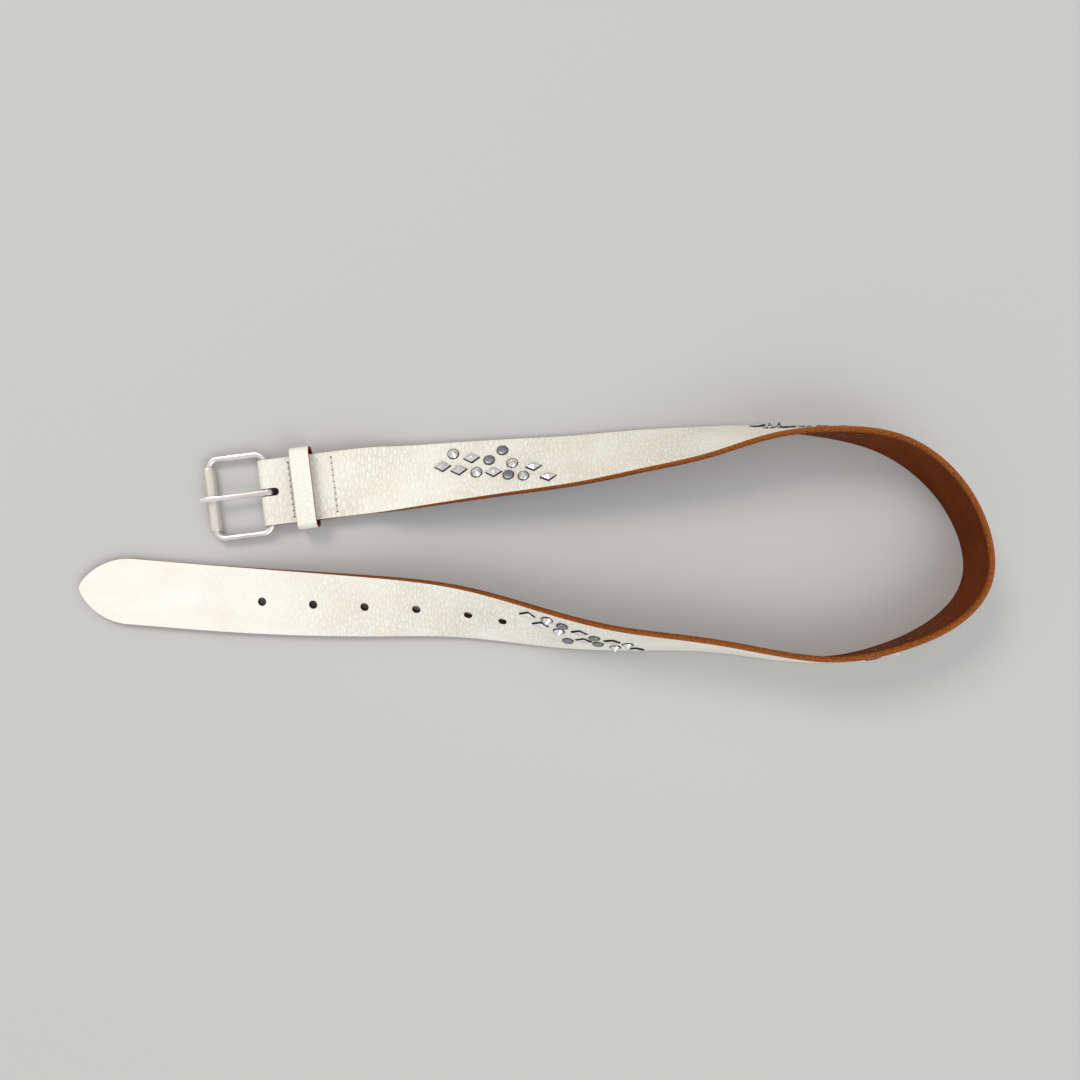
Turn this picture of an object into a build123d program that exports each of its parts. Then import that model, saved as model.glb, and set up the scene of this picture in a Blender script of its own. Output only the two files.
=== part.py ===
import os
from math import asin, cos, degrees, radians, sin

from build123d import *

# A studded leather waist belt with a roller buckle, unfastened and laid down in one long open
# loop.  Millimetres, +Z up; the origin is on the ground under the middle of the belt's box.

os.makedirs("parts", exist_ok=True)

# --- driving dimensions -------------------------------------------------------------------------
STRAP_WIDTH = 38.0
STRAP_THICK = 3.5

# the flat buckle end: where its fold lies and which way it points
FOLD_EDGE = (-152.1, 28.7)
BUCKLE_HEADING = 7.0
FLAT_LENGTH = 46.0
LEAD_LENGTH = 66.0

# the flat tip end: where its point lies and which way the strap runs in from it
TIP_POINT = (-257.6, -25.3)
TIP_HEADING = -4.8
TIP_LENGTH = 40.0
TIP_LEAD = 75.0
TIP_SHOULDER = 28.0
TIP_SIDE_RADIUS = 34.0
TIP_NOSE_RADIUS = 6.5

# the loop between the two ends: x, y, roll in degrees (90 stands on edge, face outward)
LOOP = [
    (-75, 37, 15), (-47, 40, 25), (-8, 44, 34), (30, 47, 42), (66, 53, 51),
    (103, 57, 61), (138, 65, 81), (190, 63, 94), (220, 52, 98), (248, 25, 94),
    (262, -18, 88), (241, -45, 88), (207, -60, 85), (166, -69, 84), (107, -56, 80),
    (53, -55, 70), (10, -48, 56), (-38, -37, 40), (-89, -36, 23), (-141, -34, 10),
]
FIRST_LOOP_LIFT = 1.6
SECTION_STEP = 15.0

# belt holes, measured back from the tip along the middle of the strap
HOLE_DIAMETER = 5.0
FIRST_HOLE = 107.0
HOLE_PITCH = 30.0
EXTRA_HOLE_STEP = 20.0

# the folded buckle end, x from the fold's edge along the strap, z from the ground
FRONT_LOW = 4.3
BACK_THICK = 2.0
HEEL_X = 4.3
HEEL_Z = 4.3
CAVITY_RADIUS = 2.35
NOSE_RADIUS = 4.3
CREASE_X = 14.0
ROW_X = (18.4, 43.2)
POCKET_START = 19.2
POCKET_END = 42.0
POCKET_SLOPE = 1.4
TURN_BACK_END = 45.5
SLOT_WIDTH = 4.5
SLOT_END = 11.3

# stitching
STITCH_PITCH = 3.46
STITCHES = 9
THREAD_RADIUS = 0.4
KNOT_RADIUS = 0.44

# keeper loop and its staple
KEEPER_X = 20.9
KEEPER_WIDTH = 11.0
KEEPER_SPAN = 47.0
KEEPER_TOP = 14.6
KEEPER_BOTTOM = 2.3
KEEPER_LEG = 1.7
KEEPER_CORNER = 4.6
KEEPER_BUTT_GAP = 0.25
STAPLE_WIRE = 0.5
STAPLE_CROWN = 9.0

# buckle
WIRE_RADIUS = 2.05
FRAME_SPAN = 46.0
FRAME_REACH = 32.8
FRAME_CORNER = 5.5
WIRE_GAP = 0.6
ROLLER_RADIUS = 3.5
ROLLER_BORE = 2.3
ROLLER_LENGTH = 37.0
ROLLER_SEAM = 0.35
TONGUE_WIDTH = 3.5
TONGUE_SHANK = 2.9
TONGUE_PAD = 3.4
TONGUE_NOSE = 2.2
TONGUE_EYE = 3.9
TONGUE_BORE = 2.13
TONGUE_THICK = 2.5
TONGUE_TIP = 7.0

# studs
DIAMOND_LONG = 10.2
DIAMOND_WIDE = 7.0
DIAMOND_HIGH = 2.0
ROUND_DIAMETER = 6.8
CONE_HIGH = 3.1
DISC_HIGH = 1.1
RIM_HIGH = 0.45
SEAT_DEPTH = 0.25
PRONG_WIDTH = 1.3
PRONG_THICK = 0.45
PRONG_FOLD = 2.3

# two stud layouts: kind, distance along the strap and distance in from its outer edge
LAYOUT_A = [
    ("diamond", 0.0, 15.5), ("cone", 6.3, 7.8), ("diamond", 9.3, 19.0), ("diamond", 16.8, 11.8),
    ("cone", 19.3, 21.8), ("disc", 26.8, 14.3), ("diamond", 29.2, 23.0), ("disc", 34.6, 8.2),
    ("disc", 37.5, 26.0), ("cone", 39.9, 18.0), ("cone", 46.1, 27.9), ("diamond", 52.0, 22.0),
    ("diamond", 60.0, 30.8),
]
LAYOUT_B = [
    ("diamond", 1.0, 5.0), ("cone", 6.2, 14.0), ("cone", 12.8, 7.6), ("diamond", 15.4, 18.4),
    ("disc", 22.9, 11.5), ("disc", 25.5, 20.4), ("diamond", 31.3, 14.8), ("diamond", 34.4, 25.2),
    ("disc", 40.0, 11.4), ("disc", 44.4, 28.7), ("cone", 45.8, 21.6), ("cone", 53.3, 31.4),
    ("diamond", 56.6, 24.6), ("diamond", 64.5, 31.2),
]
# where each cluster starts, measured from the fold's edge
CLUSTERS = [(106.6, LAYOUT_A), (288.0, LAYOUT_B), (478.0, LAYOUT_A), (666.8, LAYOUT_B)]

HALF_WIDTH = STRAP_WIDTH / 2
FRONT_TOP = FRONT_LOW + STRAP_THICK


# --- the strap's route ----------------------------------------------------------------------------
def along(point, heading, distance):
    """The plan point that lies a distance from point in the heading's direction."""
    angle = radians(heading)
    return (point[0] + distance * cos(angle), point[1] + distance * sin(angle))


def controls():
    """x, y, roll and lift of every control point of the strap's middle line."""
    start = [(*along(FOLD_EDGE, BUCKLE_HEADING, d), 0, FRONT_LOW) for d in (FLAT_LENGTH, LEAD_LENGTH)]
    loop = [(x, y, roll, 0) for x, y, roll in LOOP]
    loop[0] = (*loop[0][:3], FIRST_LOOP_LIFT)
    end = [(*along(TIP_POINT, TIP_HEADING, d), 0, 0) for d in (TIP_LEAD, TIP_LENGTH)]
    route = start + loop + end
    before = tuple(2 * a - b for a, b in zip(route[0], route[1]))
    after = tuple(2 * a - b for a, b in zip(route[-1], route[-2]))
    return [before] + route + [after]


CONTROLS = controls()
SPANS = len(CONTROLS) - 3


def centre_at(u):
    """Middle of the strap and its roll at route parameter u: a uniform cubic B-spline."""
    span = min(int(u), SPANS - 1)
    f = u - span
    weights = (
        (1 - f) ** 3 / 6,
        (3 * f**3 - 6 * f**2 + 4) / 6,
        (-3 * f**3 + 3 * f**2 + 3 * f + 1) / 6,
        f**3 / 6,
    )
    four = CONTROLS[span : span + 4]
    x, y, roll, lift = (sum(w * c[k] for w, c in zip(weights, four)) for k in range(4))
    tilt = radians(roll)
    z = lift + HALF_WIDTH * abs(sin(tilt)) + STRAP_THICK / 2 * abs(cos(tilt))
    return Vector(x, y, z), tilt


def frame_at(u):
    """Plane in the middle of the strap: x from the outer to the inner edge, z out of the face."""
    step = 1e-3
    centre, tilt = centre_at(u)
    travel = (centre_at(min(u + step, SPANS))[0] - centre_at(max(u - step, 0))[0]).normalized()
    left = Vector(-travel.Y, travel.X, 0).normalized()
    upward = travel.cross(left)
    across = upward * sin(tilt) - left * cos(tilt)
    return Plane(origin=centre, x_dir=across, z_dir=upward * cos(tilt) + left * sin(tilt))


SAMPLES_PER_SPAN = 50
SAMPLES = [centre_at(k / SAMPLES_PER_SPAN)[0] for k in range(SPANS * SAMPLES_PER_SPAN + 1)]
TRAVELLED = [0.0]
for before, after in zip(SAMPLES, SAMPLES[1:]):
    TRAVELLED.append(TRAVELLED[-1] + (after - before).length)
LOOP_LENGTH = TRAVELLED[-1]
STRAP_LENGTH = FLAT_LENGTH + LOOP_LENGTH + TIP_LENGTH


def parameter_at(distance):
    """Route parameter at a distance along the loop from its first section."""
    k = next(i for i, travelled in enumerate(TRAVELLED[1:]) if travelled >= distance - 1e-9)
    return (k + (distance - TRAVELLED[k]) / (TRAVELLED[k + 1] - TRAVELLED[k])) / SAMPLES_PER_SPAN


def on_strap(from_fold, from_outer_edge):
    """Plane on the strap's face: x across it, y along it, z out of the leather."""
    plane = frame_at(parameter_at(from_fold - FLAT_LENGTH))
    local = Vector(from_outer_edge - HALF_WIDTH, 0, STRAP_THICK / 2)
    return Plane(origin=plane.from_local_coords(local), x_dir=plane.x_dir, z_dir=plane.z_dir)


BUCKLE_END = Location((*FOLD_EDGE, 0), (0, 0, BUCKLE_HEADING))
SIDE = Plane.XZ


# --- leather ------------------------------------------------------------------------------------
def buckle_end():
    """The strap's end, folded round the heel bar and stitched back under itself."""
    back_low = FRONT_LOW - BACK_THICK
    run_out = POCKET_SLOPE * 1.5
    ends = FLAT_LENGTH
    nose_top = HEEL_Z + NOSE_RADIUS
    with BuildSketch(SIDE) as profile:
        with BuildLine():
            Polyline((ends, FRONT_LOW), (ends, FRONT_TOP), (CREASE_X, FRONT_TOP), (HEEL_X, nose_top))
            ThreePointArc((HEEL_X, nose_top), (HEEL_X - NOSE_RADIUS, HEEL_Z), (HEEL_X, 0))
            Polyline(
                (HEEL_X, 0),
                (CREASE_X, back_low),
                (POCKET_START - 1.0, back_low),
                (POCKET_START - 1.0 + run_out, 0),
                (POCKET_END + 0.2 - run_out, 0),
                (POCKET_END + 0.2, back_low),
                (TURN_BACK_END, back_low),
                (TURN_BACK_END, FRONT_LOW),
                (ends, FRONT_LOW),
            )
        make_face()
        with BuildLine(mode=Mode.PRIVATE) as teardrop:
            top, bottom = HEEL_Z + CAVITY_RADIUS, HEEL_Z - CAVITY_RADIUS
            ThreePointArc((HEEL_X, top), (HEEL_X - CAVITY_RADIUS, HEEL_Z), (HEEL_X, bottom))
            Polyline((HEEL_X, bottom), (CREASE_X - 0.5, FRONT_LOW), (HEEL_X, top))
        make_face(teardrop.edges(), mode=Mode.SUBTRACT)
        with BuildLine(mode=Mode.PRIVATE) as pocket:
            Polyline(
                (POCKET_START, FRONT_LOW),
                (POCKET_END, FRONT_LOW),
                (POCKET_END - POCKET_SLOPE, BACK_THICK),
                (POCKET_START + POCKET_SLOPE, BACK_THICK),
                close=True,
            )
        make_face(pocket.edges(), mode=Mode.SUBTRACT)
    leather = extrude(profile.sketch, amount=HALF_WIDTH, both=True)
    slot_sketch = Pos(SLOT_END - SLOT_WIDTH / 2, 0) * Circle(SLOT_WIDTH / 2)
    slot_sketch += Pos(SLOT_END / 2 - SLOT_WIDTH / 2, 0) * Rectangle(SLOT_END, SLOT_WIDTH)
    slot = extrude(slot_sketch, amount=2 * NOSE_RADIUS + 1)
    return BUCKLE_END * (leather - Pos(0, 0, -0.5) * slot)


def loop_body():
    """The long middle of the strap, lofted through level sections that roll up on edge and back."""
    count = round(LOOP_LENGTH / SECTION_STEP)
    sections = []
    for k in range(count + 1):
        plane = frame_at(parameter_at(LOOP_LENGTH * k / count))
        section = Plane(origin=plane.origin, x_dir=plane.x_dir, z_dir=plane.y_dir)
        sections.append(section * Rectangle(STRAP_WIDTH, STRAP_THICK))
    return loft(sections)


def tip_body():
    """The flat tip: straight sides, then two shallow arcs that meet in a small round nose."""
    x_side = TIP_SHOULDER
    side_centre_y = HALF_WIDTH - TIP_SIDE_RADIUS
    nose_angle = asin((TIP_SIDE_RADIUS - HALF_WIDTH) / (TIP_SIDE_RADIUS - TIP_NOSE_RADIUS))
    reach = (TIP_SIDE_RADIUS - TIP_NOSE_RADIUS) * cos(nose_angle) + TIP_NOSE_RADIUS
    arc_x = reach
    nose_x = TIP_NOSE_RADIUS
    join = (nose_x - TIP_NOSE_RADIUS * cos(nose_angle), TIP_NOSE_RADIUS * sin(nose_angle))
    middle = (nose_angle + radians(90)) / 2
    shoulder_y = side_centre_y + (TIP_SIDE_RADIUS**2 - (arc_x - x_side) ** 2) ** 0.5
    halfway = (
        arc_x - TIP_SIDE_RADIUS * cos(middle),
        side_centre_y + TIP_SIDE_RADIUS * sin(middle),
    )
    with BuildSketch() as outline:
        with BuildLine():
            Line((TIP_LENGTH, HALF_WIDTH), (x_side, shoulder_y))
            ThreePointArc((x_side, shoulder_y), halfway, join)
            ThreePointArc(join, (0, 0), (join[0], -join[1]))
            ThreePointArc((join[0], -join[1]), (halfway[0], -halfway[1]), (x_side, -shoulder_y))
            Line((x_side, -shoulder_y), (TIP_LENGTH, -HALF_WIDTH))
            Line((TIP_LENGTH, -HALF_WIDTH), (TIP_LENGTH, HALF_WIDTH))
        make_face()
    place = Location((*TIP_POINT, 0), (0, 0, TIP_HEADING))
    return place * extrude(outline.sketch, amount=STRAP_THICK)


def belt_holes():
    """Punches for the tongue's holes, square to the leather."""
    back = [FIRST_HOLE + HOLE_PITCH * k for k in range(5)]
    back.append(back[-1] + EXTRA_HOLE_STEP)
    punches = []
    for distance in back:
        plane = on_strap(STRAP_LENGTH - distance, HALF_WIDTH)
        punches.append(plane * Cylinder(HOLE_DIAMETER / 2, 4 * STRAP_THICK))
    return punches


def strap():
    whole = buckle_end() + loop_body() + tip_body()
    return whole - belt_holes()


def keeper():
    """A leather loop round the front layer, its two ends butted in the hidden lower leg."""
    height = KEEPER_TOP - KEEPER_BOTTOM
    middle = (KEEPER_TOP + KEEPER_BOTTOM) / 2
    ring = RectangleRounded(KEEPER_SPAN, height, KEEPER_CORNER)
    inside = (KEEPER_SPAN - 2 * KEEPER_LEG, height - 2 * KEEPER_LEG)
    ring -= RectangleRounded(*inside, KEEPER_CORNER - KEEPER_LEG)
    face = Plane(origin=(KEEPER_X, 0, middle), x_dir=(0, 1, 0), z_dir=(1, 0, 0))
    loop = extrude(face * ring, amount=KEEPER_WIDTH)
    butt = Box(2 * KEEPER_WIDTH, KEEPER_BUTT_GAP, 2 * KEEPER_LEG + 1)
    butt = Pos(KEEPER_X + KEEPER_WIDTH / 2, 0, KEEPER_BOTTOM) * butt
    return BUCKLE_END * (loop - butt)


def keeper_staple():
    """One wire staple through the keeper's butted ends, its points folded in."""
    half = STAPLE_CROWN / 2
    low = KEEPER_BOTTOM + 0.1
    high = KEEPER_BOTTOM + KEEPER_LEG
    inner = half - 3.0
    x = KEEPER_X + KEEPER_WIDTH / 2
    corners = [(x, inner, high), (x, half, high), (x, half, low)]
    route = corners + [(x, -y, z) for x, y, z in reversed(corners)]
    path = FilletPolyline(*route, radius=0.45)
    start = Plane(origin=path @ 0, z_dir=path % 0)
    return BUCKLE_END * sweep(start * Circle(STAPLE_WIRE / 2), path=path)


# --- stitching ------------------------------------------------------------------------------------
def stitch_row(x, surface, depth):
    """One thread of a lockstitch row: a capsule over each stitch and a shank down each hole."""
    first = -STITCHES * STITCH_PITCH / 2
    thread = []
    for k in range(STITCHES):
        middle = first + (k + 0.5) * STITCH_PITCH
        thread.append(Pos(x, middle, surface) * Rot(X=90) * Cylinder(THREAD_RADIUS, STITCH_PITCH))
    for k in range(STITCHES + 1):
        y = first + k * STITCH_PITCH
        thread.append(Pos(x, y, surface) * Sphere(KNOT_RADIUS))
        shank = Cylinder(THREAD_RADIUS - 0.05, abs(surface - depth))
        thread.append(Pos(x, y, (surface + depth) / 2) * shank)
    return BUCKLE_END * (thread[0] + thread[1:])


# --- buckle ---------------------------------------------------------------------------------------
TILT = degrees(asin((HEEL_Z - ROLLER_RADIUS) / FRAME_REACH))
FRAME_PLACE = BUCKLE_END * Location((HEEL_X, 0, HEEL_Z), (0, -TILT, 0))


def buckle_frame():
    """One bent wire: its ends meet inside the roller."""
    half = FRAME_SPAN / 2
    corners = [(-FRAME_REACH, WIRE_GAP / 2, 0), (-FRAME_REACH, half, 0), (0, half, 0)]
    route = corners + [(x, -y, z) for x, y, z in reversed(corners)]
    path = FilletPolyline(*route, radius=FRAME_CORNER)
    start = Plane(origin=path @ 0, z_dir=path % 0)
    return FRAME_PLACE * sweep(start * Circle(WIRE_RADIUS), path=path)


def is_outer_end(edge):
    """True for the sleeve's two outer rims."""
    return edge.radius > ROLLER_BORE + 0.1


def roller():
    """A rolled sheet sleeve, free on the frame's front bar, with its seam underneath."""
    sleeve = Circle(ROLLER_RADIUS) - Circle(ROLLER_BORE)
    sleeve -= Pos(0, -ROLLER_RADIUS) * Rectangle(ROLLER_SEAM, 2 * ROLLER_BORE)
    tube = extrude(SIDE * sleeve, amount=ROLLER_LENGTH / 2, both=True)
    tube = chamfer(tube.edges().filter_by(GeomType.CIRCLE).filter_by(is_outer_end), 0.35)
    return FRAME_PLACE * Pos(-FRAME_REACH, 0, 0) * tube


def tongue():
    """The pin: an eye rolled round the heel bar, a flat shank and a tip that rests on the roller."""
    roller_x = HEEL_X - FRAME_REACH * cos(radians(TILT))
    rest_z = 2 * ROLLER_RADIUS + 0.3
    tip_x = roller_x - TONGUE_TIP
    low = [
        (HEEL_X - 1.0, HEEL_Z + TONGUE_EYE - 1.2),
        (HEEL_X - 9.0, rest_z - 0.9),
        (roller_x + 6.0, rest_z - 0.3),
        (roller_x, rest_z),
        (tip_x + 0.8, rest_z - 0.3),
    ]
    high = [
        (tip_x, rest_z + 0.9),
        (tip_x + 0.9, rest_z + 1.7),
        (roller_x, rest_z + TONGUE_THICK),
        (roller_x + 6.0, rest_z + TONGUE_THICK - 0.2),
        (HEEL_X - 9.0, rest_z + TONGUE_THICK - 1.2),
        (HEEL_X + 0.6, HEEL_Z + TONGUE_EYE),
    ]
    side = Polygon(*(low + high), align=None)
    side += Pos(HEEL_X, HEEL_Z) * Circle(TONGUE_EYE)
    side -= Pos(HEEL_X, HEEL_Z) * Circle(TONGUE_BORE)
    bar = extrude(SIDE * side, amount=TONGUE_WIDTH, both=True)
    wide, shank, pad, nose = (w / 2 for w in (TONGUE_WIDTH, TONGUE_SHANK, TONGUE_PAD, TONGUE_NOSE))
    upper = [
        (HEEL_X + 5.0, wide),
        (-3.0, wide),
        (-6.0, shank),
        (roller_x + 4.5, shank),
        (roller_x + 2.0, pad),
        (roller_x - 1.5, pad),
        (roller_x - 3.2, nose + 0.1),
        (tip_x + 0.9, nose),
        (tip_x, nose - 0.6),
    ]
    plan = Polygon(*(upper + [(x, -y) for x, y in reversed(upper)]), align=None)
    pin = bar & extrude(plan, amount=4 * ROLLER_RADIUS)
    return BUCKLE_END * pin


# --- studs ----------------------------------------------------------------------------------------
def prongs(half_length):
    """Two flat legs through the leather, folded in over its back."""
    leg_length = STRAP_THICK + RIM_HIGH
    back = -STRAP_THICK - PRONG_THICK / 2
    legs = []
    for sign in (-1, 1):
        y = sign * (half_length - PRONG_THICK)
        legs.append(Pos(0, y, -leg_length / 2) * Box(PRONG_WIDTH, PRONG_THICK, leg_length))
        fold_y = sign * (half_length - PRONG_THICK / 2 - PRONG_FOLD / 2)
        legs.append(Pos(0, fold_y, back) * Box(PRONG_WIDTH, PRONG_FOLD, PRONG_THICK))
    return legs


def diamond_stud():
    long, wide = DIAMOND_LONG / 2, DIAMOND_WIDE / 2
    rhombus = [(0, long), (-wide, 0), (0, -long), (wide, 0)]
    base = Polygon(*rhombus, align=None)
    rim = Pos(0, 0, -SEAT_DEPTH) * extrude(base, amount=RIM_HIGH + SEAT_DEPTH)
    peak = Pos(0, 0, DIAMOND_HIGH) * scale(base, by=0.05)
    return rim + loft([Pos(0, 0, RIM_HIGH) * base, peak]) + prongs(DIAMOND_LONG / 2 - 1.6)


def cone_stud():
    radius = ROUND_DIAMETER / 2
    rim_height = RIM_HIGH + SEAT_DEPTH
    rim = Pos(0, 0, rim_height / 2 - SEAT_DEPTH) * Cylinder(radius, rim_height)
    height = CONE_HIGH - RIM_HIGH
    spike = Pos(0, 0, RIM_HIGH + height / 2) * Cone(radius - 0.15, 0.35, height)
    return rim + spike + prongs(radius - 0.3)


def disc_stud():
    radius = ROUND_DIAMETER / 2
    rim_height = RIM_HIGH + SEAT_DEPTH
    rim = Pos(0, 0, rim_height / 2 - SEAT_DEPTH) * Cylinder(radius, rim_height)
    height = DISC_HIGH - RIM_HIGH
    crown = Pos(0, 0, RIM_HIGH + height / 2) * Cone(radius - 0.25, radius - 1.3, height)
    return rim + crown + prongs(radius - 0.3)


STUDS = {"diamond": diamond_stud(), "cone": cone_stud(), "disc": disc_stud()}


def stud_group(kind, start, layout):
    """Every stud of one kind in one cluster."""
    group = [on_strap(start + s, t).location * STUDS[kind] for k, s, t in layout if k == kind]
    return Compound(children=group)


# --- write every node -----------------------------------------------------------------------------
NODES = {
    "strap": strap(),
    "keeper": keeper(),
    "keeper_staple": keeper_staple(),
    "buckle_frame": buckle_frame(),
    "roller": roller(),
    "tongue": tongue(),
}
for row, x in enumerate(ROW_X, start=1):
    under = FRONT_LOW - BACK_THICK
    NODES[f"needle_thread_row_{row}"] = stitch_row(x, FRONT_TOP + 0.1, 4.8)
    NODES[f"bobbin_thread_row_{row}"] = stitch_row(x, under - 0.1, 4.6)
for number, (start, layout) in enumerate(CLUSTERS, start=1):
    for kind in STUDS:
        NODES[f"{kind}_studs_{number}"] = stud_group(kind, start, layout)

for name, shape in NODES.items():
    export_step(shape, f"parts/{name}.step")

box = Compound(children=list(NODES.values())).bounding_box()
print("strap length from fold to tip", round(STRAP_LENGTH, 1))
print("box", box.min, box.max, "middle", (box.min + box.max) / 2)
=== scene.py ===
import math

import bpy
import numpy as np
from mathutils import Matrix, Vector, noise


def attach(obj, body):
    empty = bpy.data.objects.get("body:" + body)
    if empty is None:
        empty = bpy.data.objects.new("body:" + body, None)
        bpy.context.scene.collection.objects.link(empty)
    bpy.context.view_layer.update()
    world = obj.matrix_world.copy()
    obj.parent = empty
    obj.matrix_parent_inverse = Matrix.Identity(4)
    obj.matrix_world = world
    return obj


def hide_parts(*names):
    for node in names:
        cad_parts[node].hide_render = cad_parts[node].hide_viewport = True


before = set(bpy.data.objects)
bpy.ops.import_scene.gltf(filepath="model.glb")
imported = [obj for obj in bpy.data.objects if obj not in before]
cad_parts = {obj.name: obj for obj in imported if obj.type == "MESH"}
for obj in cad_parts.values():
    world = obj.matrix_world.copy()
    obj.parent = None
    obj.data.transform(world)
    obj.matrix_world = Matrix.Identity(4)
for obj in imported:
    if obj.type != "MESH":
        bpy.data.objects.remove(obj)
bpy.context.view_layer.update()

# Lengths are in millimetres until a mesh is made. The row frame's +Z is up off the ground.
MM = 0.001

# strap
STRAP_WIDTH = 38.0
STRAP_THICK = 3.5
STRAP_LENGTH = 992.0
FOLD_EDGE = np.array([-152.1, 28.7, 0.0])
BUCKLE_HEADING = math.radians(7.0)
TIP_POINT = np.array([-257.6, -25.3, 0.0])
TIP_HEADING = math.radians(-4.8)
FLAT_END = 46.0
LEAD_LENGTH = 66.0
TIP_LENGTH = 40.0
TIP_LEAD = 75.0
TIP_NOSE = 6.5
TIP_SIDE = 34.0
FRONT_LOW = 4.3
FRONT_TOP = FRONT_LOW + STRAP_THICK
TURNED_FACE = 2.32
TURNED_BACK = 4.24
FIRST_LOOP_LIFT = 1.6
LOOP = [
    (-75, 37, 15), (-47, 40, 25), (-8, 44, 34), (30, 47, 42), (66, 53, 51),
    (103, 57, 61), (138, 65, 81), (190, 63, 94), (220, 52, 98), (248, 25, 94),
    (262, -18, 88), (241, -45, 88), (207, -60, 85), (166, -69, 84), (107, -56, 80),
    (53, -55, 70), (10, -48, 56), (-38, -37, 40), (-89, -36, 23), (-141, -34, 10),
]
HOLES = [STRAP_LENGTH - back for back in (107, 137, 167, 197, 227, 247)]
HOLE_RADIUS = 2.5
SLOT_END = 11.3
SLOT_HALF = 2.25
ROW_X = (18.4, 43.2)
STITCH_PITCH = 3.46
STITCHES = 9

# buckle
HEEL = (4.3, 4.3)
ROLLER_AXIS = (-28.49, 3.5)
WIRE_RADIUS = 2.05

# studs: kind, distance along the strap and distance in from its outer edge
LAYOUT_A = [
    ("diamond", 0.0, 15.5), ("cone", 6.3, 7.8), ("diamond", 9.3, 19.0), ("diamond", 16.8, 11.8),
    ("cone", 19.3, 21.8), ("disc", 26.8, 14.3), ("diamond", 29.2, 23.0), ("disc", 34.6, 8.2),
    ("disc", 37.5, 26.0), ("cone", 39.9, 18.0), ("cone", 46.1, 27.9), ("diamond", 52.0, 22.0),
    ("diamond", 60.0, 30.8),
]
LAYOUT_B = [
    ("diamond", 1.0, 5.0), ("cone", 6.2, 14.0), ("cone", 12.8, 7.6), ("diamond", 15.4, 18.4),
    ("disc", 22.9, 11.5), ("disc", 25.5, 20.4), ("diamond", 31.3, 14.8), ("diamond", 34.4, 25.2),
    ("disc", 40.0, 11.4), ("disc", 44.4, 28.7), ("cone", 45.8, 21.6), ("cone", 53.3, 31.4),
    ("diamond", 56.6, 24.6), ("diamond", 64.5, 31.2),
]
CLUSTERS = [(106.6, LAYOUT_A), (288.0, LAYOUT_B), (478.0, LAYOUT_A), (666.8, LAYOUT_B)]


# --- camera ---------------------------------------------------------------------------------------
camera_data = bpy.data.cameras.new("camera")
camera_data.lens = 36.0
camera_data.sensor_width = 36.0
camera_data.clip_start = 0.01
camera_data.clip_end = 20.0
camera = bpy.data.objects.new("camera", camera_data)
camera.location = (0.009, 0.002, 0.628)
bpy.context.scene.collection.objects.link(camera)
bpy.context.scene.camera = camera


# --- small numeric helpers ------------------------------------------------------------------------
def smooth(low, high, x):
    """0 below low, 1 above high, an eased ramp between."""
    t = np.clip((np.asarray(x, float) - low) / (high - low), 0.0, 1.0)
    return t * t * (3 - 2 * t)


def unit(v):
    return v / np.maximum(np.linalg.norm(v, axis=-1, keepdims=True), 1e-12)


def grain_noise(x, y, seed, octaves=1):
    """Smooth noise from -1 to 1 at every point of two arrays."""
    flat = np.empty(x.size)
    for k, (a, b) in enumerate(zip(x.ravel(), y.ravel())):
        total, gain, f = 0.0, 1.0, 1.0
        for _ in range(octaves):
            total += gain * noise.noise(Vector((a * f, b * f, seed)))
            gain *= 0.5
            f *= 2.0
        flat[k] = total
    return flat.reshape(x.shape)


# --- mesh helpers ---------------------------------------------------------------------------------
def make_object(name, points, faces, materials, zones=None, uvs=None, flat=False, angle=35.0):
    """A mesh object from points in millimetres, with a material for each face's zone."""
    mesh = bpy.data.meshes.new(name)
    mesh.from_pydata((np.asarray(points, float) * MM).tolist(), [], [list(f) for f in faces])
    for material in materials:
        mesh.materials.append(material)
    if zones is not None:
        mesh.polygons.foreach_set("material_index", np.asarray(zones, np.int32))
    if uvs is not None:
        layer = mesh.uv_layers.new(name="LeatherMap")
        corner = np.empty(len(mesh.loops), np.int32)
        mesh.loops.foreach_get("vertex_index", corner)
        layer.data.foreach_set("uv", np.asarray(uvs, np.float32)[corner].ravel())
    mesh.polygons.foreach_set("use_smooth", np.full(len(mesh.polygons), not flat))
    if not flat:
        mesh.set_sharp_from_angle(angle=math.radians(angle))
    mesh.validate()
    mesh.update()
    obj = bpy.data.objects.new(name, mesh)
    bpy.context.scene.collection.objects.link(obj)
    return obj


class Pile:
    """Collects pieces of mesh that make up one object."""

    def __init__(self):
        self.points, self.faces, self.zones, self.count = [], [], [], 0

    def add(self, points, faces, zone=0):
        points = np.asarray(points, float).reshape(-1, 3)
        self.points.append(points)
        self.faces += [tuple(int(i) + self.count for i in f) for f in faces]
        self.zones += [zone] * len(faces)
        self.count += len(points)

    def build(self, name, materials, **more):
        return make_object(name, np.concatenate(self.points), self.faces, materials, self.zones, **more)


def finish_piece(obj, body, slot, *nodes):
    """Puts a piece on the body it rides on and hides the CAD nodes it stands for; slot is not used."""
    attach(obj, body)
    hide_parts(*nodes)


def grid_faces(rows, columns, closed_columns=False, closed_rows=False):
    """Quads between neighbouring rows of points."""
    faces = []
    for i in range(rows if closed_rows else rows - 1):
        k = (i + 1) % rows
        for j in range(columns if closed_columns else columns - 1):
            n = (j + 1) % columns
            faces.append((i * columns + j, i * columns + n, k * columns + n, k * columns + j))
    return faces


def ring_stack(rings):
    """Joins closed rings of points one after another and caps both ends."""
    count, size = len(rings), len(rings[0])
    faces = grid_faces(count, size, closed_columns=True)
    faces.append(tuple(range(size))[::-1])
    faces.append(tuple(range((count - 1) * size, count * size)))
    return np.concatenate(rings), faces


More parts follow.
